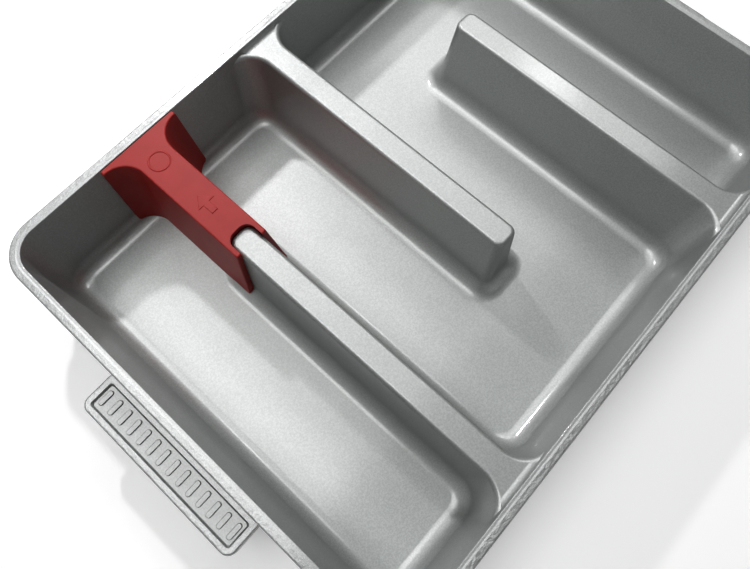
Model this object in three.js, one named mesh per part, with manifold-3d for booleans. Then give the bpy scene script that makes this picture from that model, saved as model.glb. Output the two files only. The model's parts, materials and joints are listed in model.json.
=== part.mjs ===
import * as THREE from 'three';
import { mergeVertices } from 'three/addons/utils/BufferGeometryUtils.js';
import Module from 'manifold-3d';

// A cast aluminium brownie pan. Three baffles cast with the walls fold the bed into one long
// channel of four lanes, and a loose silicone divider closes the first turn of that channel.
// Lengths are millimetres. X runs across the lanes, Y along them and Z up, and the origin is
// the middle of the underside.

// Casting, over its rim
const rimLength = 304.8;
const rimWidth = 228.6;
const panHeight = 50.8;
const rimBand = 5;
const rimBeadDepth = 6;
const rimBeadChamfer = 2;
const rimEdgeRadius = 1;

// Casting, walls and floor
const wallThickness = 3.2;
const floorThickness = 4;
const cornerRadius = 12.7;
const floorFilletRadius = 8;
const undersideRadius = 9;
const wallDraft = THREE.MathUtils.degToRad(2.5);

// Baffles: two stand on the -Y wall and the middle one on the +Y wall
const bafflePitch = 76.2;
const baffleTopWidth = 12.4;
const baffleDrop = 3.2;
const baffleEdgeRadius = 2;
const baffleEndRadius = 4.4;
const baffleRootRadius = 12.7;
const baffleRootFillet = 2.5;
const turnGap = 64.5;
const baffleDraft = THREE.MathUtils.degToRad(5);

// Slots that keep the baffles hollow from below
const baffleSkin = 3.2;
const slotRoofRadius = 2;
const slotMouthRadius = 2.5;
const slotEndLand = 1.5;

// Handle tabs on the two short walls
const handleLength = 90;
const handleReach = 20.6;
const handleDrop = 18;
const handleThickness = 5;
const handleCornerRadius = 4.5;
const handleEdgeRadius = 1;
const handleBorder = 3;
const handlePocketWidth = 12.4;
const handlePocketDepth = 0.9;
const handlePocketRadius = 1.5;
const handlePocketTaper = 0.3;
const handleRibPitch = 6;
const handleRibWidth = 2.4;
const handleRibLength = 7.6;
const handleRibHeight = 0.6;

// Slots and grip ribs end in rounds of this share of their half width
const endRoundShare = 0.9;

// Silicone divider
const fitClearance = 0.3;
const dividerTopDrop = 0.5;
const dividerTopWidth = 17.2;
const dividerFlareRadius = 12;
const dividerTipFlat = 0.6;
const dividerTipThickness = 2.1;
const dividerArmReach = 9.4;
const dividerArmRadius = 0.8;
const dividerEdgeRadius = 0.7;
const dividerDraft = THREE.MathUtils.degToRad(6);
const dividerTipDraft = THREE.MathUtils.degToRad(2.5);
const dividerMarkRelief = 0.3;
const dividerRingRadius = 5.4;
const dividerRingWidth = 1.1;
const dividerRingFromWall = 15.5;
const dividerArrowLength = 11;
const dividerArrowWidth = 9;
const dividerArrowFromWall = 46;
const arrowHeadShare = 0.5;
const arrowShaftShare = 0.36;

// One overrun serves every cut
const overrun = 2;

// Facets
const cornerSteps = 5;
const filletSteps = 4;
const edgeSteps = 3;
const ringSteps = 24;
// A corner that a fillet has eaten keeps this share of its radius
const leastCornerShare = 0.06;

// Heights and half sizes that the pieces share
const floorTop = floorThickness;
const baffleTop = panHeight - baffleDrop;
const handleTop = panHeight - handleDrop;
const dividerTop = panHeight - dividerTopDrop;
const baffleEndY = rimWidth / 2 - rimBand - turnGap;
const baffles = [
  { x: -bafflePitch, wallSide: -1 },
  { x: 0, wallSide: 1 },
  { x: bafflePitch, wallSide: -1 },
];
const dividerX = baffles[0].x;
const footRound = undersideRadius - wallThickness;
const slotRootY = rimWidth / 2 - rimBand - footRound - slotMouthRadius - slotEndLand;

// How far a wall, or a baffle's side, has moved at a height because of its draft
const wallInset = (z) => (panHeight - z) * Math.tan(wallDraft);
const baffleSpread = (z) => (baffleTop - z) * Math.tan(baffleDraft);
const insideX = (z) => rimLength / 2 - rimBand - wallInset(z);
const insideY = (z) => rimWidth / 2 - rimBand - wallInset(z);
const baffleHalf = (z) => baffleTopWidth / 2 + baffleSpread(z);
const baffleEnd = (z) => baffleEndY + baffleSpread(z);

const wasm = await Module();
wasm.setup();

// Outline of square corners, anticlockwise, each rounded by its own radius
function roundedOutline(corners) {
  const points = [];
  corners.forEach((corner, i) => {
    const before = corners[(i + corners.length - 1) % corners.length];
    const after = corners[(i + 1) % corners.length];
    const here = new THREE.Vector2(corner.x, corner.y);
    const arriving = here.clone().sub(new THREE.Vector2(before.x, before.y)).normalize();
    const leaving = new THREE.Vector2(after.x, after.y).sub(here).normalize();
    const centre = here.clone().addScaledVector(arriving, -corner.r).addScaledVector(leaving, corner.r);
    for (let step = 0; step <= cornerSteps; step += 1) {
      const turn = (step / cornerSteps) * (Math.PI / 2);
      const point = centre.clone();
      point.addScaledVector(leaving, -corner.r * Math.cos(turn));
      point.addScaledVector(arriving, corner.r * Math.sin(turn));
      points.push(point);
    }
  });
  return points;
}

// Rectangle about a centre, with one corner radius
function rectangleOutline(x, y, halfX, halfY, r) {
  return roundedOutline([
    { x: x - halfX, y: y - halfY, r },
    { x: x + halfX, y: y - halfY, r },
    { x: x + halfX, y: y + halfY, r },
    { x: x - halfX, y: y + halfY, r },
  ]);
}

// Closed skin through outlines stacked from the lowest to the highest
function loft(rings) {
  const count = rings[0].points.length;
  const positions = rings.flatMap((ring) => ring.points.flatMap((p) => [p.x, p.y, ring.z]));
  const index = [];
  for (let level = 0; level + 1 < rings.length; level += 1) {
    for (let i = 0; i < count; i += 1) {
      const a = level * count + i;
      const b = level * count + ((i + 1) % count);
      index.push(a, b, b + count, a, b + count, a + count);
    }
  }
  const lastRing = (rings.length - 1) * count;
  for (const [a, b, c] of THREE.ShapeUtils.triangulateShape(rings[0].points, [])) {
    index.push(c, b, a);
  }
  for (const [a, b, c] of THREE.ShapeUtils.triangulateShape(rings.at(-1).points, [])) {
    index.push(lastRing + a, lastRing + b, lastRing + c);
  }
  const geometry = new THREE.BufferGeometry();
  geometry.setAttribute('position', new THREE.Float32BufferAttribute(positions, 3));
  geometry.setIndex(index);
  return geometry;
}

// Quarter round at a level: rise above its start and distance in from the full size
function quarterRound(radius, steps, step) {
  const turn = (step / steps) * (Math.PI / 2);
  return { rise: radius * Math.sin(turn), inset: radius * (1 - Math.cos(turn)) };
}

function toSolid(geometry) {
  const bare = geometry.clone();
  bare.deleteAttribute('normal');
  bare.deleteAttribute('uv');
  const merged = mergeVertices(bare);
  return new wasm.Manifold(new wasm.Mesh({
    numProp: 3,
    vertProperties: new Float32Array(merged.attributes.position.array),
    triVerts: new Uint32Array(merged.index.array),
  }));
}

function toGeometry(solid) {
  const mesh = solid.getMesh();
  const geometry = new THREE.BufferGeometry();
  geometry.setAttribute('position', new THREE.BufferAttribute(mesh.vertProperties, mesh.numProp));
  geometry.setIndex(new THREE.BufferAttribute(mesh.triVerts, 1));
  geometry.computeVertexNormals();
  return geometry;
}

// The bed seen from above at one height. wallIn moves the walls inwards and metalOut grows
// the baffles, so the same outline serves the drafted sides, the fillets and the clearance.
function bedOutline(z, wallIn, metalOut) {
  const halfX = insideX(z) - wallIn;
  const halfY = insideY(z) - wallIn;
  const half = baffleHalf(z) + metalOut;
  const end = baffleEnd(z) + metalOut;
  const corner = Math.max(cornerRadius - wallInset(z) - wallIn, cornerRadius * leastCornerShare);
  const rootEaten = baffleSpread(z) + Math.max(wallIn, metalOut);
  const root = Math.max(baffleRootRadius - rootEaten, baffleRootRadius * leastCornerShare);
  const tipGrown = baffleEndRadius + baffleSpread(z) + metalOut;
  const tip = Math.max(tipGrown, baffleEndRadius * leastCornerShare);
  const standing = (baffle) => [
    { x: baffle.x - half, y: -halfY, r: root },
    { x: baffle.x - half, y: end, r: tip },
    { x: baffle.x + half, y: end, r: tip },
    { x: baffle.x + half, y: -halfY, r: root },
  ];
  const hanging = (baffle) => [
    { x: baffle.x + half, y: halfY, r: root },
    { x: baffle.x + half, y: -end, r: tip },
    { x: baffle.x - half, y: -end, r: tip },
    { x: baffle.x - half, y: halfY, r: root },
  ];
  return roundedOutline([
    { x: -halfX, y: -halfY, r: corner },
    ...baffles.filter((baffle) => baffle.wallSide < 0).flatMap(standing),
    { x: halfX, y: -halfY, r: corner },
    { x: halfX, y: halfY, r: corner },
    ...baffles.filter((baffle) => baffle.wallSide > 0).flatMap(hanging),
    { x: -halfX, y: halfY, r: corner },
  ]);
}

// Rings of the bed from the floor, through its fillet, up to where the sides are plain
function bedFloorRings(gap) {
  const rings = [];
  for (let step = 0; step <= filletSteps; step += 1) {
    const { rise, inset } = quarterRound(floorFilletRadius, filletSteps, filletSteps - step);
    const z = floorTop + gap + floorFilletRadius - rise;
    rings.push({ z, points: bedOutline(z, inset + gap, inset + gap) });
  }
  return rings;
}

// What the batter fills below the baffle tops, with their upper edges rounded over
function bedSolid() {
  const rings = bedFloorRings(0);
  for (let step = 0; step <= edgeSteps; step += 1) {
    const { rise, inset } = quarterRound(baffleEdgeRadius, edgeSteps, step);
    const z = baffleTop - baffleEdgeRadius + rise;
    rings.push({ z, points: bedOutline(z, 0, -inset) });
  }
  const fillTop = baffleTop + baffleRootFillet;
  rings.push({ z: fillTop, points: bedOutline(fillTop, 0, -baffleEdgeRadius) });
  return toSolid(loft(rings));
}

// The shallow tray over the baffle tops, filleted where they run into the walls
function overBedSolid() {
  const rings = [];
  for (let step = 0; step <= edgeSteps; step += 1) {
    const { rise, inset } = quarterRound(baffleRootFillet, edgeSteps, edgeSteps - step);
    const z = baffleTop + baffleRootFillet - rise;
    rings.push(overBedRing(z, inset));
  }
  rings.push(overBedRing(panHeight + overrun, 0));
  return toSolid(loft(rings));
}

function overBedRing(z, inset) {
  const corner = cornerRadius - wallInset(z) - inset;
  return { z, points: rectangleOutline(0, 0, insideX(z) - inset, insideY(z) - inset, corner) };
}

// Outside of the casting: rounded foot, drafted walls and a thicker bead at the rim
function shellSolid() {
  const outside = (z, grown, inset) => {
    const corner = cornerRadius - wallInset(z) + grown - inset;
    return {
      z,
      points: rectangleOutline(0, 0, insideX(z) + grown - inset, insideY(z) + grown - inset, corner),
    };
  };
  const rings = [];
  for (let step = 0; step <= filletSteps; step += 1) {
    const { rise, inset } = quarterRound(undersideRadius, filletSteps, filletSteps - step);
    rings.push(outside(undersideRadius - rise, wallThickness, inset));
  }
  const beadBottom = panHeight - rimBeadDepth;
  rings.push(outside(beadBottom - rimBeadChamfer, wallThickness, 0));
  rings.push(outside(beadBottom, rimBand + wallInset(beadBottom), 0));
  for (let step = 0; step <= edgeSteps; step += 1) {
    const { rise, inset } = quarterRound(rimEdgeRadius, edgeSteps, step);
    const z = panHeight - rimEdgeRadius + rise;
    rings.push(outside(z, rimBand + wallInset(z), inset));
  }
  return toSolid(loft(rings));
}

// Hollow under one baffle, open below
function slotSolid(baffle) {
  const slotRing = (z, grown) => {
    const half = baffleHalf(z) - baffleSkin + grown;
    const freeEnd = -baffle.wallSide * (baffleEnd(z) - baffleSkin + grown);
    const rootEnd = baffle.wallSide * (slotRootY - wallInset(z) + grown);
    const middleY = (freeEnd + rootEnd) / 2;
    const halfY = Math.abs(freeEnd - rootEnd) / 2;
    return { z, points: rectangleOutline(baffle.x, middleY, half, halfY, half * endRoundShare) };
  };
  const rings = [slotRing(-overrun, slotMouthRadius)];
  for (let step = 0; step <= edgeSteps; step += 1) {
    const { rise, inset } = quarterRound(slotMouthRadius, edgeSteps, edgeSteps - step);
    rings.push(slotRing(slotMouthRadius - rise, inset));
  }
  const roof = baffleTop - baffleSkin;
  for (let step = 0; step <= edgeSteps; step += 1) {
    const { rise, inset } = quarterRound(slotRoofRadius, edgeSteps, step);
    rings.push(slotRing(roof - slotRoofRadius + rise, -inset));
  }
  return toSolid(loft(rings));
}

// Handle tab on the side that end points to, with its root inside the wall
function handleSolid(end) {
  const rootX = insideX(handleTop) + wallThickness / 2;
  const tipX = rimLength / 2 + handleReach;
  const middleX = end * (rootX + tipX) / 2;
  const halfX = (tipX - rootX) / 2;
  const tabRing = (z, inset) => ({
    z,
    points: rectangleOutline(middleX, 0, halfX - inset, handleLength / 2 - inset, handleCornerRadius - inset),
  });
  const rings = [];
  for (let step = 0; step <= edgeSteps; step += 1) {
    const { rise, inset } = quarterRound(handleEdgeRadius, edgeSteps, edgeSteps - step);
    rings.push(tabRing(handleTop - handleThickness + handleEdgeRadius - rise, inset));
  }
  for (let step = 0; step <= edgeSteps; step += 1) {
    const { rise, inset } = quarterRound(handleEdgeRadius, edgeSteps, step);
    rings.push(tabRing(handleTop - handleEdgeRadius + rise, inset));
  }
  return toSolid(loft(rings));
}

// Shallow pocket in a handle's top, less the row of grip ribs that stand in it
function handlePocketSolid(end) {
  const middleX = end * (rimLength / 2 + handleReach - handleBorder - handlePocketWidth / 2);
  const pocketLength = handleLength - 2 * handleBorder;
  const pocketFloor = handleTop - handlePocketDepth;
  const pocketRing = (z, inset) => ({
    z,
    points: rectangleOutline(
      middleX, 0, handlePocketWidth / 2 - inset, pocketLength / 2 - inset, handlePocketRadius - inset,
    ),
  });
  let pocket = toSolid(loft([
    pocketRing(pocketFloor, handlePocketTaper),
    pocketRing(handleTop, 0),
    pocketRing(handleTop + overrun, 0),
  ]));
  const ribCount = Math.floor((pocketLength - handleRibWidth - handleBorder) / handleRibPitch) + 1;
  for (let rib = 0; rib < ribCount; rib += 1) {
    const y = (rib - (ribCount - 1) / 2) * handleRibPitch;
    const ribRing = (z, inset) => {
      const half = handleRibWidth / 2 - inset;
      return { z, points: rectangleOutline(middleX, y, handleRibLength / 2 - inset, half, half * endRoundShare) };
    };
    pocket = pocket.subtract(toSolid(loft([
      ribRing(pocketFloor - overrun, 0),
      ribRing(pocketFloor + handleRibHeight / 2, 0),
      ribRing(pocketFloor + handleRibHeight, handlePocketTaper),
    ])));
  }
  return pocket;
}

function castingGeometry() {
  let casting = shellSolid();
  for (const end of [-1, 1]) {
    casting = casting.add(handleSolid(end));
    casting = casting.subtract(handlePocketSolid(end));
  }
  casting = casting.subtract(bedSolid());
  casting = casting.subtract(overBedSolid());
  for (const baffle of baffles) {
    casting = casting.subtract(slotSolid(baffle));
  }
  return toGeometry(casting);
}

// Space that the divider may fill: the bed, drawn in all round by the fit clearance, with the
// first baffle's plain sides carried straight up past its rounded top
function dividerSpaceSolid() {
  const rings = bedFloorRings(fitClearance);
  rings.push({ z: baffleTop, points: bedOutline(baffleTop, fitClearance, fitClearance) });
  const above = panHeight + overrun;
  const upright = fitClearance - baffleSpread(above);
  rings.push({ z: above, points: bedOutline(above, fitClearance, upright) });
  return toSolid(loft(rings));
}

// The divider before it is fitted: a bar that flares into a T at the wall, more tightly at the
// foot because the T's ends lean out less than the bar's sides
function dividerBlockSolid() {
  const blockRing = (z, inset) => {
    const spread = (dividerTop - z) * Math.tan(dividerDraft);
    const half = dividerTopWidth / 2 + spread - inset;
    const flare = dividerFlareRadius - spread + (dividerTop - z) * Math.tan(dividerTipDraft);
    const tip = half + flare + dividerTipFlat;
    const armEnd = baffleEndY - dividerArmReach + inset;
    const tipY = insideY(z) - fitClearance - dividerTipThickness + inset;
    const backY = insideY(z) + overrun;
    return {
      z,
      points: roundedOutline([
        { x: dividerX - half, y: armEnd, r: dividerArmRadius },
        { x: dividerX + half, y: armEnd, r: dividerArmRadius },
        { x: dividerX + half, y: tipY, r: flare },
        { x: dividerX + tip, y: tipY, r: dividerTipFlat / 2 },
        { x: dividerX + tip, y: backY, r: dividerTipFlat / 2 },
        { x: dividerX - tip, y: backY, r: dividerTipFlat / 2 },
        { x: dividerX - tip, y: tipY, r: dividerTipFlat / 2 },
        { x: dividerX - half, y: tipY, r: flare },
      ]),
    };
  };
  const rings = [blockRing(floorTop - overrun, 0)];
  for (let step = 0; step <= edgeSteps; step += 1) {
    const { rise, inset } = quarterRound(dividerEdgeRadius, edgeSteps, step);
    rings.push(blockRing(dividerTop - dividerEdgeRadius + rise, inset));
  }
  return toSolid(loft(rings));
}

// Raised marks on the divider's top: a plain ring, and an arrow towards the wall
function ringMarkSolid() {
  const inner = dividerRingRadius - dividerRingWidth;
  const low = -dividerMarkRelief;
  const profile = [
    new THREE.Vector2(inner, low),
    new THREE.Vector2(dividerRingRadius, low),
    new THREE.Vector2(dividerRingRadius, dividerMarkRelief),
    new THREE.Vector2(inner, dividerMarkRelief),
    new THREE.Vector2(inner, low),
  ];
  const ring = new THREE.LatheGeometry(profile, ringSteps);
  ring.rotateX(Math.PI / 2);
  ring.translate(dividerX, insideY(dividerTop) - dividerRingFromWall, dividerTop);
  return toSolid(ring);
}

function arrowMarkSolid() {
  const halfLength = dividerArrowLength / 2;
  const halfWidth = dividerArrowWidth / 2;
  const neckY = halfLength - dividerArrowLength * arrowHeadShare;
  const shaft = halfWidth * arrowShaftShare;
  const arrow = new THREE.Shape();
  arrow.moveTo(-shaft, -halfLength);
  arrow.lineTo(shaft, -halfLength);
  arrow.lineTo(shaft, neckY);
  arrow.lineTo(halfWidth, neckY);
  arrow.lineTo(0, halfLength);
  arrow.lineTo(-halfWidth, neckY);
  arrow.lineTo(-shaft, neckY);
  arrow.closePath();
  const geometry = new THREE.ExtrudeGeometry(arrow, { depth: 2 * dividerMarkRelief, bevelEnabled: false });
  geometry.translate(
    dividerX, insideY(dividerTop) - dividerArrowFromWall, dividerTop - dividerMarkRelief,
  );
  return toSolid(geometry);
}

function dividerGeometry() {
  let divider = dividerBlockSolid().intersect(dividerSpaceSolid());
  divider = divider.add(ringMarkSolid());
  divider = divider.add(arrowMarkSolid());
  return toGeometry(divider);
}

const panCasting = new THREE.Mesh(
  castingGeometry(),
  new THREE.MeshStandardMaterial({ color: 0xb9bfbd, roughness: 0.42, metalness: 0.85 }),
);
panCasting.name = 'pan_casting';

const siliconeDivider = new THREE.Mesh(
  dividerGeometry(),
  new THREE.MeshStandardMaterial({ color: 0xa5322e, roughness: 0.6, metalness: 0 }),
);
siliconeDivider.name = 'silicone_divider';

const browniePan = new THREE.Group();
browniePan.add(panCasting, siliconeDivider);

export default browniePan;
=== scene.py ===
import json
import math

import bpy
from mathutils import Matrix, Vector

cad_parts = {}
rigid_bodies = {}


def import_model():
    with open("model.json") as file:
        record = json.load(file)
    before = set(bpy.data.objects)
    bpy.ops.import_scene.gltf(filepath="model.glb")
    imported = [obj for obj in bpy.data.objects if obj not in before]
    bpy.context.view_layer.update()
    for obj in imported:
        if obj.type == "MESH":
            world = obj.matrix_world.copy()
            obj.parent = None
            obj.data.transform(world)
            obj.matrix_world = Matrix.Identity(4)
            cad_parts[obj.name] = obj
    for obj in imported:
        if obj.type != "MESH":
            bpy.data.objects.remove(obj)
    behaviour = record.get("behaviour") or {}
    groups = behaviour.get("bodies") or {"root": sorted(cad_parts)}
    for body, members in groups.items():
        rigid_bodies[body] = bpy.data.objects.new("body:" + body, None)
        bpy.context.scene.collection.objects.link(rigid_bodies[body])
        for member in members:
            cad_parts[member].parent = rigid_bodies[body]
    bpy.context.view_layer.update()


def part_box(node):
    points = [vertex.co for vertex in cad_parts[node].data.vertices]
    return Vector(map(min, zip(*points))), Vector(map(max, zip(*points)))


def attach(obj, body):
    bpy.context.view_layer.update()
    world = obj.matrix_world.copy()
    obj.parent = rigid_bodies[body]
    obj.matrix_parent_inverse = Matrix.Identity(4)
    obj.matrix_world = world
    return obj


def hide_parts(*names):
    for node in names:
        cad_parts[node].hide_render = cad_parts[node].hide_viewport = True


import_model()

# Camera
# Where the photograph was taken from, fitted to the pan's straight rim and baffle edges: a
# short lens held over the corner of the empty lane, tipped 17 degrees from straight down.
camera_data = bpy.data.cameras.new("photo_camera")
camera_data.sensor_width = 36
camera_data.lens = 27.90
photo_camera = bpy.data.objects.new("photo_camera", camera_data)
photo_camera.location = (-0.10693, -0.06254, 0.28105)
photo_camera.rotation_euler = [math.radians(turn) for turn in (16.96, -0.047, -47.956)]
bpy.context.collection.objects.link(photo_camera)
bpy.context.scene.camera = photo_camera

# Casting: outer walls, foot and rim bead
# The outside of one thick aluminium casting. The walls lean out a little so that it leaves its
# mould, the foot is rounded, and a heavier bead runs round the top as the rim.
rim_length = 0.3048
rim_width = 0.2286
pan_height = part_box("pan_casting")[1].z
rim_band = 0.005
wall_thickness = 0.0032
wall_draft = math.tan(math.radians(2.5))
corner_radius = 0.0127
foot_radius = 0.009
bead_depth = 0.006
bead_chamfer = 0.002
rim_edge_radius = 0.001
outer_corner_steps = 16
foot_steps = 8
chamfer_steps = 1
rim_edge_steps = 5

# Every cutter runs on by cut_past, and places agree when they are within a hair. The shares say
# how much of an edge has to be height, and how squarely a face has to look one way
cut_past = 0.002
hair = 0.00001
upright_share = 0.6
facing_share = 0.9
flat_degrees = 0.2


def inner_half(side, z):
    """Half the distance between two facing inner walls at a height."""
    return side / 2 - rim_band - (pan_height - z) * wall_draft


def clear_selection():
    for thing in bpy.context.view_layer.objects:
        thing.select_set(False)


def add_block(name, low, high):
    clear_selection()
    bpy.ops.mesh.primitive_cube_add(size=1, location=(Vector(low) + Vector(high)) / 2)
    block = bpy.context.object
    block.name = name
    block.scale = Vector(high) - Vector(low)
    bpy.ops.object.transform_apply(location=True, rotation=True, scale=True)
    return block


def edit(block, kind, wanted):
    """Opens a piece in edit mode with only the wanted verts, edges or faces selected."""
    clear_selection()
    block.select_set(True)
    bpy.context.view_layer.objects.active = block
    bpy.ops.object.mode_set(mode="EDIT")
    bpy.ops.mesh.select_mode(type=kind)
    bpy.ops.mesh.select_all(action="DESELECT")
    bpy.ops.object.mode_set(mode="OBJECT")
    mesh = block.data
    if kind == "VERT":
        for vert in mesh.vertices:
            vert.select = wanted(vert.co)
    elif kind == "EDGE":
        for edge in mesh.edges:
            a, b = [mesh.vertices[i].co for i in edge.vertices]
            edge.select = wanted(a, b)
    else:
        for face in mesh.polygons:
            face.select = wanted(face.center, face.normal)
    bpy.ops.object.mode_set(mode="EDIT")


def leave_edit():
    bpy.ops.mesh.select_all(action="DESELECT")
    bpy.ops.object.mode_set(mode="OBJECT")


def move_verts(block, step, wanted):
    edit(block, "VERT", wanted)
    bpy.ops.transform.translate(value=step)
    leave_edit()


def pull_face(block, step, wanted):
    edit(block, "FACE", wanted)
    bpy.ops.mesh.extrude_region_move(TRANSFORM_OT_translate={"value": step})
    leave_edit()


def round_edges(block, radius, steps, wanted):
    edit(block, "EDGE", wanted)
    bpy.ops.mesh.bevel(offset=radius, segments=steps, affect="EDGES", clamp_overlap=False)
    leave_edit()


def merge_flats(block):
    """Dissolves the seams that pulled faces leave across one flat."""
    edit(block, "FACE", lambda middle, normal: True)
    bpy.ops.mesh.dissolve_limited(angle_limit=math.radians(flat_degrees))
    leave_edit()


def upright(a, b):
    return abs(a.z - b.z) > upright_share * (a - b).length


def drafted_block(name, half_at, low_z, high_z, corner, steps):
    """A block that stands on the pan's middle, leans out going up, and has rounded corners."""
    top_x, top_y = half_at(high_z)
    foot_x, foot_y = half_at(low_z)
    block = add_block(name, (-top_x, -top_y, low_z), (top_x, top_y, high_z))
    for side in (-1, 1):
        move_verts(block, (side * (foot_x - top_x), 0, 0),
                   lambda co, side=side: co.z < low_z + hair and co.x * side > 0)
        move_verts(block, (0, side * (foot_y - top_y), 0),
                   lambda co, side=side: co.z < low_z + hair and co.y * side > 0)
    round_edges(block, corner, steps, upright)
    return block


def combine(base, tool, operation):
    """Joins the tool to the base or cuts it away, and clears the tool."""
    shaping = base.modifiers.new("shaping", "BOOLEAN")
    shaping.operation = operation
    shaping.solver = "EXACT"
    shaping.object = tool
    clear_selection()
    base.select_set(True)
    bpy.context.view_layer.objects.active = base
    bpy.ops.object.modifier_apply(modifier=shaping.name)
    bpy.data.objects.remove(tool)


pan_casting = drafted_block(
    "cast_pan",
    lambda z: (inner_half(rim_length, z) + wall_thickness,
               inner_half(rim_width, z) + wall_thickness),
    0, pan_height - bead_depth / 2, corner_radius + wall_thickness, outer_corner_steps,
)
round_edges(pan_casting, foot_radius, foot_steps, lambda a, b: max(a.z, b.z) < hair)
bead_low = pan_height - bead_depth - bead_chamfer
rim_bead = drafted_block(
    "rim_bead", lambda z: (rim_length / 2, rim_width / 2),
    bead_low, pan_height, corner_radius + rim_band, outer_corner_steps,
)
round_edges(rim_bead, bead_chamfer, chamfer_steps,
            lambda a, b: max(a.z, b.z) < bead_low + hair)
round_edges(rim_bead, rim_edge_radius, rim_edge_steps,
            lambda a, b: min(a.z, b.z) > pan_height - hair)
combine(pan_casting, rim_bead, "UNION")

# Casting: the bed and its three baffles
# The bed is what batter fills: a tapered block, less one block for each baffle. The baffles
# are cast with the walls and flare into them, and stop a little below the rim.
floor_top = 0.004
floor_fillet = 0.008
baffle_pitch = 0.0762
baffle_top_width = 0.0124
baffle_drop = 0.0032
baffle_top = pan_height - baffle_drop
baffle_draft = math.tan(math.radians(5))
baffle_round = 0.002
baffle_end_radius = 0.0044
baffle_root_radius = 0.0127
plateau_fillet = 0.0025
turn_gap = 0.0645
bed_corner_steps = 14
floor_fillet_steps = 9
baffle_end_steps = 10
baffle_root_steps = 14
top_round_steps = 6
baffle_end = rim_width / 2 - rim_band - turn_gap
baffles = ((-baffle_pitch, -1), (0, 1), (baffle_pitch, -1))


def bed_half(z):
    return inner_half(rim_length, z), inner_half(rim_width, z)


def baffle_block(x, wall_side):
    """A baffle as a solid bar with a slab on its root that lies just behind the wall."""
    half = baffle_top_width / 2
    foot = floor_top - cut_past
    drop = baffle_top - foot
    slab = 3 * cut_past
    front = wall_side * (inner_half(rim_width, baffle_top) + 2 * hair)
    free = -wall_side * baffle_end
    block = add_block(
        "baffle_block",
        (x - half, min(front, free), foot), (x + half, max(front, free), baffle_top),
    )
    for side in (-1, 1):
        move_verts(block, (side * drop * baffle_draft, 0, 0),
                   lambda co, side=side: co.z < foot + hair and (co.x - x) * side > 0)
    move_verts(block, (0, -wall_side * drop * baffle_draft, 0),
               lambda co: co.z < foot + hair and co.y * wall_side < 0)
    move_verts(block, (0, -wall_side * drop * wall_draft, 0),
               lambda co: co.z < foot + hair and co.y * wall_side > 0)
    pull_face(block, (0, wall_side * slab, 0),
              lambda middle, normal: (
                  normal.y * wall_side > facing_share and middle.y * wall_side > 0))
    for side in (-1, 1):
        pull_face(block, (side * (baffle_root_radius + slab), 0, 0),
                  lambda middle, normal, side=side: (
                      normal.x * side > facing_share
                      and middle.y * wall_side > front * wall_side - slab / 3))
    merge_flats(block)

    def at_front(co):
        inward = (baffle_top - co.z) * wall_draft
        return abs(co.y * wall_side - (front * wall_side - inward)) < hair

    def on_bar(co):
        return abs(co.x - x) < half + drop * baffle_draft + hair

    round_edges(block, baffle_end_radius, baffle_end_steps,
                lambda a, b: upright(a, b) and a.y * wall_side < 0)
    round_edges(block, baffle_root_radius, baffle_root_steps,
                lambda a, b: (
                    upright(a, b) and at_front(a) and at_front(b) and on_bar(a) and on_bar(b)))
    round_edges(block, baffle_round, top_round_steps,
                lambda a, b: min(a.z, b.z) > baffle_top - hair)
    pull_face(block, (0, 0, plateau_fillet + cut_past),
              lambda middle, normal: normal.z > facing_share and middle.z > baffle_top - hair)
    return block


bed = drafted_block(
    "bed", bed_half, floor_top, baffle_top + plateau_fillet + 10 * hair,
    corner_radius, bed_corner_steps)
for x, wall_side in baffles:
    combine(bed, baffle_block(x, wall_side), "DIFFERENCE")
round_edges(bed, floor_fillet, floor_fillet_steps,
            lambda a, b: max(a.z, b.z) < floor_top + hair)
combine(pan_casting, bed, "DIFFERENCE")
over_bed = drafted_block(
    "over_bed", bed_half, baffle_top, pan_height + cut_past, corner_radius, bed_corner_steps)
round_edges(over_bed, plateau_fillet, top_round_steps,
            lambda a, b: max(a.z, b.z) < baffle_top + hair)
combine(pan_casting, over_bed, "DIFFERENCE")

# Casting: hollows under the baffles
# The baffles are cast hollow, so that the metal is of one thickness and the oven's heat gets
# up inside them. Each hollow is open below, narrows going up and has rounded ends.
baffle_skin = 0.0032
hollow_roof_radius = 0.002
hollow_mouth_radius = 0.0025
end_round_share = 0.9
hollow_land = 0.0015
hollow_end_steps = 8
hollow_edge_steps = 4
hollow_root = (rim_width / 2 - rim_band - (foot_radius - wall_thickness)
               - hollow_mouth_radius - hollow_land)


def hollow_half(z):
    return baffle_top_width / 2 + (baffle_top - z) * baffle_draft - baffle_skin


def hollow_end(z, at_root):
    if at_root:
        return hollow_root - (pan_height - z) * wall_draft
    return baffle_end + (baffle_top - z) * baffle_draft - baffle_skin


def hollow_block(x, wall_side):
    roof = baffle_top - baffle_skin
    mouth = -cut_past
    ends = sorted((wall_side * hollow_end(roof, True), -wall_side * hollow_end(roof, False)))
    half = hollow_half(roof)
    block = add_block("hollow_block", (x - half, ends[0], mouth), (x + half, ends[1], roof))
    end_radius = half * end_round_share
    round_edges(block, end_radius, hollow_end_steps, upright)
    spread = hollow_half(mouth) / half
    for way, at_root in ((wall_side, True), (-wall_side, False)):
        centre = hollow_end(roof, at_root) - end_radius
        edit(block, "VERT", lambda co, way=way: co.z < mouth + hair and co.y * way > 0)
        bpy.ops.transform.resize(
            value=(spread, spread, 1), center_override=(x, way * centre, mouth))
        reach = hollow_end(mouth, at_root) - (centre + end_radius * spread)
        bpy.ops.transform.translate(value=(0, way * reach, 0))
        leave_edit()
    round_edges(block, hollow_roof_radius, hollow_edge_steps,
                lambda a, b: min(a.z, b.z) > roof - hair)
    return block


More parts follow.
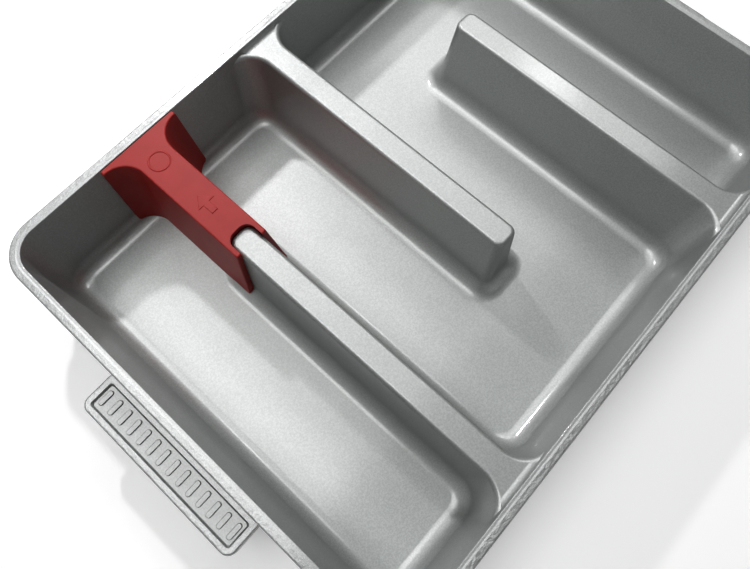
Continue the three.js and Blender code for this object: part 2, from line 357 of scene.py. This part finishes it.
for x, wall_side in baffles:
    combine(pan_casting, hollow_block(x, wall_side), "DIFFERENCE")
round_edges(
    pan_casting, hollow_mouth_radius, hollow_edge_steps,
    lambda a, b: (
        max(abs(a.z), abs(b.z)) < hair
        and max(abs(a.y), abs(b.y)) < hollow_root
        and min(abs((a.x + b.x) / 2 - x) for x, wall_side in baffles) < 2 * hollow_half(0)),
)

# Casting: the two grip tabs
# Flat tabs cast on the short sides, a third of the way down. A shallow pocket in each top is
# filled with a row of low ribs for grip.
tab_length = 0.09
tab_reach = 0.0206
tab_drop = 0.018
tab_top = pan_height - tab_drop
tab_thickness = 0.005
tab_corner_radius = 0.0045
tab_edge_radius = 0.001
tab_border = 0.003
pocket_width = 0.0124
pocket_depth = 0.0012
pocket_radius = 0.0015
pocket_lean = 0.0007
rib_pitch = 0.006
rib_width = 0.0024
rib_length = 0.0076
rib_height = 0.0008
rib_round = 0.0003
tab_corner_steps = 10
tab_edge_steps = 4
pocket_corner_steps = 6
pocket_foot_steps = 2
rib_end_steps = 6
rib_top_steps = 3
tab_tip = rim_length / 2 + tab_reach
tab_root = inner_half(rim_length, tab_top) + wall_thickness / 2
grip_tabs = add_block(
    "grip_tabs",
    (tab_root, -tab_length / 2, tab_top - tab_thickness), (tab_tip, tab_length / 2, tab_top))
round_edges(grip_tabs, tab_corner_radius, tab_corner_steps,
            lambda a, b: upright(a, b) and a.x > tab_tip - hair)
round_edges(
    grip_tabs, tab_edge_radius, tab_edge_steps,
    lambda a, b: abs(a.z - b.z) < hair and max(a.x, b.x) > tab_root + hair)
pocket_floor = tab_top - pocket_depth
pocket_middle = tab_tip - tab_border - pocket_width / 2
pocket_over = pocket_lean * cut_past / pocket_depth
pocket_half_x = pocket_width / 2 + pocket_over
pocket_half_y = tab_length / 2 - tab_border + pocket_over
pocket_draw = pocket_lean + pocket_over
pocket = add_block(
    "pocket", (pocket_middle - pocket_half_x, -pocket_half_y, pocket_floor),
    (pocket_middle + pocket_half_x, pocket_half_y, tab_top + cut_past))
round_edges(pocket, pocket_radius, pocket_corner_steps, upright)
edit(pocket, "VERT", lambda co: co.z < pocket_floor + hair)
bpy.ops.transform.resize(
    value=(1 - pocket_draw / pocket_half_x, 1 - pocket_draw / pocket_half_y, 1),
    center_override=(pocket_middle, 0, pocket_floor))
leave_edit()
round_edges(pocket, rib_round, pocket_foot_steps,
            lambda a, b: max(a.z, b.z) < pocket_floor + hair)
combine(grip_tabs, pocket, "DIFFERENCE")
rib_count = int((tab_length - 2 * tab_border - rib_width - tab_border) / rib_pitch) + 1
first_rib = -(rib_count - 1) / 2 * rib_pitch
ribs = add_block(
    "grip_ribs",
    (pocket_middle - rib_length / 2, first_rib - rib_width / 2, pocket_floor - rib_height),
    (pocket_middle + rib_length / 2, first_rib + rib_width / 2, pocket_floor + rib_height))
round_edges(ribs, rib_width / 2 * end_round_share, rib_end_steps, upright)
round_edges(ribs, rib_round, rib_top_steps,
            lambda a, b: min(a.z, b.z) > pocket_floor + rib_height - hair)
row = ribs.modifiers.new("row", "ARRAY")
row.count = rib_count
row.use_relative_offset = False
row.use_constant_offset = True
row.constant_offset_displace = (0, rib_pitch, 0)
bpy.ops.object.modifier_apply(modifier=row.name)
combine(grip_tabs, ribs, "UNION")
far_tab = grip_tabs.modifiers.new("far_tab", "MIRROR")
far_tab.use_axis[0] = True
bpy.ops.object.modifier_apply(modifier=far_tab.name)
combine(pan_casting, grip_tabs, "UNION")

# Casting: the finish
# The rim's inner edge is eased, then the whole pan is sprayed with a satin silver coat. It lies
# smooth in the bed, carries painted shade in the tabs' pockets, where its colour is darkened
# as shade in the recess, and shows the pebbled skin of the casting on the rim, tabs and outside.
rim_inner_ease = 0.0004
ease_steps = 3
casting_smooth_degrees = 40
smooth_strip = 0.0016
strip_blend = 0.0004
rim_face_depth = 0.001
rim_face_blend = 0.0002
pebble_depth = 0.0005
grain_depth = 0.00001
bed_tones = (
    (0.35, (0.42, 0.435, 0.427)), (0.5, (0.46, 0.477, 0.468)), (0.66, (0.52, 0.537, 0.528)))
skin_tones = (
    (0.33, (0.42, 0.431, 0.427)), (0.5, (0.485, 0.498, 0.493)), (0.68, (0.59, 0.604, 0.6)))
# How far the pockets' coat colour is darkened: painted shade in the recess
pocket_shade_share = 0.77
looks_down = -0.05
looks_up = 0.5


def inside_rim(co):
    spare = rim_band / 4
    return (abs(co.x) < inner_half(rim_length, pan_height) + spare
            and abs(co.y) < inner_half(rim_width, pan_height) + spare)


round_edges(
    pan_casting, rim_inner_ease, ease_steps,
    lambda a, b: min(a.z, b.z) > pan_height - hair and inside_rim(a) and inside_rim(b))


def finish_surface(piece, sharpest):
    """Merges doubles, smooths what turns gently and lets large flats rule the shading."""
    edit(piece, "VERT", lambda co: True)
    bpy.ops.mesh.remove_doubles(threshold=hair / 5)
    leave_edit()
    bpy.ops.object.shade_smooth_by_angle(angle=math.radians(sharpest))
    weighting = piece.modifiers.new("weighting", "WEIGHTED_NORMAL")
    weighting.keep_sharp = True
    weighting.weight = 100
    bpy.ops.object.modifier_apply(modifier=weighting.name)


finish_surface(pan_casting, casting_smooth_degrees)


def node_material(name):
    material = bpy.data.materials.new(name)
    material.use_nodes = True
    return material, material.node_tree, material.node_tree.nodes["Principled BSDF"]


def add_noise(tree, scale, detail, roughness):
    place = tree.nodes.new("ShaderNodeTexCoord")
    noise = tree.nodes.new("ShaderNodeTexNoise")
    noise.inputs["Scale"].default_value = scale
    noise.inputs["Detail"].default_value = detail
    noise.inputs["Roughness"].default_value = roughness
    tree.links.new(place.outputs["Object"], noise.inputs["Vector"])
    return noise


def add_ramp(tree, source, stops):
    ramp = tree.nodes.new("ShaderNodeValToRGB")
    tree.links.new(source, ramp.inputs["Fac"])
    ramp.color_ramp.elements[0].position = stops[0][0]
    ramp.color_ramp.elements[0].color = (*stops[0][1], 1)
    ramp.color_ramp.elements[1].position = stops[-1][0]
    ramp.color_ramp.elements[1].color = (*stops[-1][1], 1)
    for position, colour in stops[1:-1]:
        ramp.color_ramp.elements.new(position).color = (*colour, 1)
    return ramp


def add_range(tree, source, low, high):
    span = tree.nodes.new("ShaderNodeMapRange")
    span.inputs["To Min"].default_value = low
    span.inputs["To Max"].default_value = high
    tree.links.new(source, span.inputs["Value"])
    return span


def add_bump(tree, height, distance, strength):
    bump = tree.nodes.new("ShaderNodeBump")
    bump.inputs["Distance"].default_value = distance
    bump.inputs["Strength"].default_value = strength
    tree.links.new(height, bump.inputs["Height"])
    return bump


def make_coated_metal(shader):
    """A satin metal under a thin, sharper coat."""
    shader.inputs["Metallic"].default_value = 1.0
    shader.inputs["Specular Tint"].default_value = (0.2, 0.2, 0.2, 1)
    shader.inputs["Coat Weight"].default_value = 0.3
    shader.inputs["Coat IOR"].default_value = 2.6
    shader.inputs["Coat Roughness"].default_value = 0.15


bed_coat, tree, shader = node_material("satin_silver_coat")
make_coated_metal(shader)
speckle = add_noise(tree, scale=1400, detail=2, roughness=0.6)
colour = add_ramp(tree, speckle.outputs["Fac"], bed_tones)
tree.links.new(colour.outputs["Color"], shader.inputs["Base Color"])
cloud = add_noise(tree, scale=60, detail=3, roughness=0.5)
gloss = add_range(tree, cloud.outputs["Fac"], low=0.57, high=0.63)
tree.links.new(gloss.outputs["Result"], shader.inputs["Roughness"])
grain = add_bump(tree, speckle.outputs["Fac"], grain_depth, strength=0.5)
tree.links.new(grain.outputs["Normal"], shader.inputs["Normal"])

# The pockets carry the bed's coat with its colours darkened: painted shade in the recess
shaded_pocket_coat = bed_coat.copy()
shaded_pocket_coat.name = "silver_coat_painted_shade"
for stop in shaded_pocket_coat.node_tree.nodes[colour.name].color_ramp.elements:
    stop.color = (*[pocket_shade_share * part for part in stop.color[:3]], 1)

cast_skin, tree, shader = node_material("pebbled_silver_coat")
make_coated_metal(shader)
pebble = add_noise(tree, scale=540, detail=2, roughness=0.6)
speckle = add_noise(tree, scale=2200, detail=2, roughness=0.6)
colour = add_ramp(tree, speckle.outputs["Fac"], skin_tones)
tree.links.new(colour.outputs["Color"], shader.inputs["Base Color"])
gloss = add_range(tree, pebble.outputs["Fac"], low=0.52, high=0.64)
tree.links.new(gloss.outputs["Result"], shader.inputs["Roughness"])


def vector_step(tree, operation, source, value):
    step = tree.nodes.new("ShaderNodeVectorMath")
    step.operation = operation
    tree.links.new(source, step.inputs[0])
    step.inputs[1].default_value = value
    return step


def scalar_step(tree, operation, first, second):
    step = tree.nodes.new("ShaderNodeMath")
    step.operation = operation
    tree.links.new(first, step.inputs[0])
    tree.links.new(second, step.inputs[1])
    return step


# The pebbles start a strip out from the rim's inner edge, round the corners too, and anywhere
# below the rim's face
place = tree.nodes.new("ShaderNodeTexCoord")
quarter = vector_step(tree, "ABSOLUTE", place.outputs["Object"], (0, 0, 0))
from_bend = vector_step(tree, "SUBTRACT", quarter.outputs["Vector"], (
    rim_length / 2 - rim_band - corner_radius, rim_width / 2 - rim_band - corner_radius, 0))
outward = vector_step(tree, "MAXIMUM", from_bend.outputs["Vector"], (0, 0, 0))
level_out = vector_step(tree, "MULTIPLY", outward.outputs["Vector"], (1, 1, 0))
reach = vector_step(tree, "LENGTH", level_out.outputs["Vector"], (0, 0, 0))
off_edge = add_range(tree, reach.outputs["Value"], low=0, high=1)
off_edge.inputs["From Min"].default_value = corner_radius + smooth_strip - strip_blend
off_edge.inputs["From Max"].default_value = corner_radius + smooth_strip + strip_blend
height = tree.nodes.new("ShaderNodeSeparateXYZ")
tree.links.new(place.outputs["Object"], height.inputs["Vector"])
below_rim = add_range(tree, height.outputs["Z"], low=1, high=0)
below_rim.inputs["From Min"].default_value = pan_height - rim_face_depth - rim_face_blend
below_rim.inputs["From Max"].default_value = pan_height - rim_face_depth + rim_face_blend
rough_part = scalar_step(
    tree, "MAXIMUM", off_edge.outputs["Result"], below_rim.outputs["Result"])
relief = scalar_step(tree, "MULTIPLY", pebble.outputs["Fac"], rough_part.outputs["Value"])
coarse = add_bump(tree, relief.outputs["Value"], pebble_depth, strength=0.9)
tree.links.new(coarse.outputs["Normal"], shader.inputs["Normal"])

pan_casting.data.materials.clear()
for coat in (bed_coat, cast_skin, shaded_pocket_coat):
    pan_casting.data.materials.append(coat)
bed_slot, skin_slot, shaded_pocket_slot = range(3)
for face in pan_casting.data.polygons:
    level = face.center.z
    outside = (abs(face.center.x) > inner_half(rim_length, level) + wall_thickness / 4
               or abs(face.center.y) > inner_half(rim_width, level) + wall_thickness / 4)
    under = level < floor_top - hair or face.normal.z < looks_down
    in_hollow = face.normal.z < looks_up and level < baffle_top - baffle_skin / 2 and any(
        abs(face.center.x - x) < hollow_half(level) + baffle_skin / 2
        and -hollow_end(level, False) - baffle_skin / 2 < face.center.y * wall_side
        < hollow_end(level, True) + baffle_skin / 2
        for x, wall_side in baffles)
    # Faces in the pockets take the coat with painted shade
    in_pocket = (
        pocket_floor - rib_height - hair < level < tab_top - hair
        and abs(abs(face.center.x) - pocket_middle) < pocket_width / 2 + hair
        and abs(face.center.y) < tab_length / 2 - tab_border + hair
        and face.normal.z > looks_down)
    on_rim = level > pan_height - hair
    if in_pocket:
        face.material_index = shaded_pocket_slot
    elif outside or under or in_hollow or on_rim:
        face.material_index = skin_slot
    else:
        face.material_index = bed_slot
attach(pan_casting, "pan")
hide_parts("pan_casting")

# Divider
# A loose block of moulded red silicone. It straddles the free end of the first baffle, and its
# other end flares into a thin-edged T that seals against the wall.
divider_x = baffles[0][0]
divider_gap = 0.0003
divider_top_drop = 0.0005
divider_top = pan_height - divider_top_drop
divider_top_width = 0.0172
divider_draft = math.tan(math.radians(6))
lip_draft = math.tan(math.radians(2.5))
flare_radius = 0.012
lip_flat = 0.0006
lip_thickness = 0.0021
arm_reach = 0.0094
arm_radius = 0.0008
divider_edge_radius = 0.0007
arm_foot_radius = 0.0045
lip_foot_radius = 0.007
arm_steps = 3
flare_steps = 14
divider_edge_steps = 4
arm_foot_steps = 8
lip_foot_steps = 10
divider_smooth_degrees = 35
divider_grain_depth = 0.00003
red_tones = ((0.3, (0.33, 0.013, 0.01)), (0.7, (0.37, 0.017, 0.013)))
divider_foot = floor_top - cut_past
divider_drop = divider_top - divider_foot
divider_half = divider_top_width / 2
lip_front = inner_half(rim_width, divider_top) - divider_gap - lip_thickness
divider = add_block(
    "silicone_divider_block",
    (divider_x - divider_half, baffle_end - arm_reach, divider_foot),
    (divider_x + divider_half, lip_front, divider_top))
pull_face(divider, (0, lip_thickness + 2 * cut_past, 0),
          lambda middle, normal: normal.y > facing_share and middle.y > baffle_end)
for side in (-1, 1):
    pull_face(divider, (side * (flare_radius + lip_flat), 0, 0),
              lambda middle, normal, side=side: (
                  normal.x * side > facing_share
                  and middle.y > lip_front - divider_edge_radius))
merge_flats(divider)


def at_lip(co):
    return abs(co.y - lip_front) < hair


def on_divider_bar(co):
    return abs(co.x - divider_x) < divider_half + hair


round_edges(divider, arm_radius, arm_steps, lambda a, b: upright(a, b) and a.y < baffle_end)
round_edges(
    divider, flare_radius, flare_steps,
    lambda a, b: (
        upright(a, b) and at_lip(a) and at_lip(b) and on_divider_bar(a) and on_divider_bar(b)))

# Its foot is spread for the draft. The lip's ends lean out less than the bar, so the flares tighten
bar_lean = divider_drop * divider_draft
lip_share = 1 - divider_drop * (divider_draft - lip_draft) / (flare_radius + lip_flat)
for side in (-1, 1):
    move_verts(divider, (side * bar_lean, 0, 0),
               lambda co, side=side: (
                   co.z < divider_foot + hair
                   and (co.x - divider_x) * side > divider_half - arm_radius - hair))
    edit(divider, "VERT", lambda co, side=side: (
        co.z < divider_foot + hair and co.y > lip_front - flare_radius - hair
        and (co.x - divider_x) * side > 0))
    bpy.ops.transform.resize(
        value=(lip_share, lip_share, 1),
        center_override=(divider_x + side * (divider_half + bar_lean), lip_front, divider_foot))
    leave_edit()
move_verts(divider, (0, -divider_drop * wall_draft, 0),
           lambda co: co.z < divider_foot + hair and co.y > baffle_end)
round_edges(divider, divider_edge_radius, divider_edge_steps,
            lambda a, b: min(a.z, b.z) > divider_top - hair)

# The room it has: the bed drawn in by the gap, less the first baffle grown by it
room = drafted_block(
    "divider_room",
    lambda z: (inner_half(rim_length, z) - divider_gap, inner_half(rim_width, z) - divider_gap),
    floor_top + divider_gap, pan_height + cut_past, corner_radius, bed_corner_steps)
bar_half = baffle_top_width / 2 + divider_gap
bar_end = baffle_end + divider_gap
bar_high = pan_height + 2 * cut_past
bar_low = floor_top - cut_past
bar = add_block("baffle_bar", (divider_x - bar_half, -rim_width / 2, bar_low),
                (divider_x + bar_half, bar_end, bar_high))
for side in (-1, 1):
    for level in (bar_low, bar_high):
        spread = (baffle_top - level) * baffle_draft
        move_verts(bar, (side * spread, 0, 0),
                   lambda co, side=side, level=level: (
                       abs(co.z - level) < hair and (co.x - divider_x) * side > 0))
for level in (bar_low, bar_high):
    move_verts(bar, (0, (baffle_top - level) * baffle_draft, 0),
               lambda co, level=level: abs(co.z - level) < hair and co.y > 0)
round_edges(bar, baffle_end_radius + divider_gap, baffle_end_steps,
            lambda a, b: upright(a, b) and a.y > 0)
combine(room, bar, "DIFFERENCE")
round_edges(room, floor_fillet, floor_fillet_steps,
            lambda a, b: max(a.z, b.z) < floor_top + divider_gap + hair)
combine(divider, room, "INTERSECT")

# The foot corners of its arms and lip are rounded off
arm_tip = baffle_end - arm_reach - hair
lip_tip = divider_half + flare_radius + lip_flat + divider_drop * lip_draft
foot_level = floor_top + divider_gap - hair
rounding = add_block(
    "foot_rounding", (divider_x - lip_tip, arm_tip, foot_level),
    (divider_x + lip_tip, rim_width / 2, pan_height + cut_past))
round_edges(rounding, arm_foot_radius, arm_foot_steps,
            lambda a, b: max(a.z, b.z) < foot_level + hair and max(a.y, b.y) < arm_tip + hair)
round_edges(rounding, lip_foot_radius, lip_foot_steps,
            lambda a, b: max(a.z, b.z) < foot_level + hair and abs(a.y - b.y) > baffle_end)
combine(divider, rounding, "INTERSECT")

# Raised marks moulded on its top: a plain ring, and an arrow that points at the wall
mark_relief = 0.0003
mark_round = 0.00024
ring_radius = 0.0054
ring_width = 0.0011
ring_from_wall = 0.0155
arrow_length = 0.011
arrow_width = 0.009
arrow_from_wall = 0.046
arrow_head_share = 0.5
arrow_shaft_share = 0.36
arrow_tip_share = 0.04
mark_steps = 2
ring_steps = 64
ring_section_steps = 16
wall_at_top = inner_half(rim_width, divider_top)
clear_selection()
bpy.ops.mesh.primitive_torus_add(
    major_radius=ring_radius - ring_width / 2, minor_radius=ring_width / 2,
    major_segments=ring_steps, minor_segments=ring_section_steps,
    location=(divider_x, wall_at_top - ring_from_wall, divider_top + mark_relief - ring_width / 2))
ring_mark = bpy.context.object
bpy.ops.object.transform_apply(location=True, rotation=True, scale=True)
combine(divider, ring_mark, "UNION")
arrow_y = wall_at_top - arrow_from_wall
shaft_half = arrow_width / 2 * arrow_shaft_share
neck_y = arrow_y + arrow_length / 2 - arrow_length * arrow_head_share
arrow_mark = add_block(
    "arrow_mark", (divider_x - shaft_half, arrow_y - arrow_length / 2, divider_top - mark_relief),
    (divider_x + shaft_half, neck_y + mark_relief, divider_top + mark_relief))
arrow_head = add_block(
    "arrow_head", (divider_x - arrow_width / 2, neck_y, divider_top - mark_relief),
    (divider_x + arrow_width / 2, arrow_y + arrow_length / 2, divider_top + mark_relief))
edit(arrow_head, "VERT", lambda co: co.y > neck_y + hair)
bpy.ops.transform.resize(
    value=(arrow_tip_share, 1, 1), center_override=(divider_x, arrow_y, divider_top))
leave_edit()
combine(arrow_mark, arrow_head, "UNION")
merge_flats(arrow_mark)
round_edges(arrow_mark, mark_round, mark_steps,
            lambda a, b: min(a.z, b.z) > divider_top + mark_relief - hair)
combine(divider, arrow_mark, "UNION")
finish_surface(divider, divider_smooth_degrees)

silicone, tree, shader = node_material("red_silicone")
cloud = add_noise(tree, scale=120, detail=3, roughness=0.5)
colour = add_ramp(tree, cloud.outputs["Fac"], red_tones)
tree.links.new(colour.outputs["Color"], shader.inputs["Base Color"])
shader.inputs["Roughness"].default_value = 0.55
shader.inputs["Specular IOR Level"].default_value = 0.35
fine = add_noise(tree, scale=3000, detail=2, roughness=0.5)
matt = add_bump(tree, fine.outputs["Fac"], divider_grain_depth, strength=0.4)
tree.links.new(matt.outputs["Normal"], shader.inputs["Normal"])
divider.data.materials.clear()
divider.data.materials.append(silicone)
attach(divider, "divider")
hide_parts("silicone_divider")

# Studio
# A white sheet under the pan, with four soft panels and a small lamp hung high over it. A
# smaller lamp close by, beyond the divider's wall, gives the shadow edges. The surround is
# pale only low down, for the outer walls.
sheet_size = 6
sheet_glow = 0.3
white = (1, 1, 1)
panel_height = 1.5
wide_panel_height = 1.55
pale_below = 0.02
dim_above = 0.22
clear_selection()
bpy.ops.mesh.primitive_plane_add(size=sheet_size, location=(0, 0, 0))
floor = bpy.context.object
floor.name = "studio_floor"
paper, tree, shader = node_material("white_sheet")
shader.inputs["Roughness"].default_value = 0.9
shader.inputs["Base Color"].default_value = (0.9, 0.9, 0.9, 1)
light_path = tree.nodes.new("ShaderNodeLightPath")
mirrored = scalar_step(
    tree, "MAXIMUM", light_path.outputs["Is Glossy Ray"], light_path.outputs["Is Transmission Ray"])
seen = scalar_step(tree, "MAXIMUM", light_path.outputs["Is Camera Ray"], mirrored.outputs["Value"])
whiter = add_range(tree, seen.outputs["Value"], low=0, high=sheet_glow)
shader.inputs["Emission Color"].default_value = (1, 1, 1, 1)
tree.links.new(whiter.outputs["Result"], shader.inputs["Emission Strength"])
floor.data.materials.append(paper)


def hang_lamp(name, shape, size, place, aim, energy, colour):
    data = bpy.data.lights.new(name, "AREA")
    data.shape = shape
    data.size = size[0]
    data.size_y = size[1]
    data.energy = energy
    data.color = colour
    lamp = bpy.data.objects.new(name, data)
    lamp.location = place
    lamp.rotation_euler = (Vector(place) - Vector(aim)).to_track_quat("Z", "Y").to_euler()
    bpy.context.collection.objects.link(lamp)


def hang_panel(name, size, x, y, z, energy):
    """A soft panel that faces straight down."""
    hang_lamp(name, "RECTANGLE", size, (x, y, z), (x, y, 0), energy, white)


# The wide panel hangs a little higher: where two lamps overlap in one plane, one loses light
hang_panel("wide_panel", (0.8, 2.4), -0.4, 0.8, wide_panel_height, energy=1.8)
hang_panel("left_panel", (0.6, 0.9), -0.45, 0.4, panel_height, energy=7.4)
hang_panel("middle_panel", (1, 0.9), 0.355, 0.4, panel_height, energy=5.1)
hang_panel("far_panel", (0.6, 1.4), 1.2, 0.55, panel_height, energy=9)
hang_lamp("far_lamp", "DISK", (0.22, 0.22), (1.21, 0.33, 1.47), aim=(0.08, 0, 0),
          energy=0.82, colour=white)
hang_lamp("near_lamp", "DISK", (0.027, 0.027), (0.088, 0.384, 0.404), aim=(-0.11, 0.03, 0),
          energy=1.31, colour=(1, 0.97, 1))

surround = bpy.data.worlds.new("surround")
surround.use_nodes = True
tree = surround.node_tree
direction = tree.nodes.new("ShaderNodeTexCoord")
parts = tree.nodes.new("ShaderNodeSeparateXYZ")
tree.links.new(direction.outputs["Generated"], parts.inputs["Vector"])
dimming = add_range(tree, parts.outputs["Z"], low=0.9, high=0.02)
dimming.inputs["From Min"].default_value = pale_below
dimming.inputs["From Max"].default_value = dim_above
tree.links.new(dimming.outputs["Result"], tree.nodes["Background"].inputs["Strength"])
tree.nodes["Background"].inputs["Color"].default_value = (1, 1, 1, 1)
bpy.context.scene.world = surround
bpy.context.scene.view_settings.view_transform = "Standard"
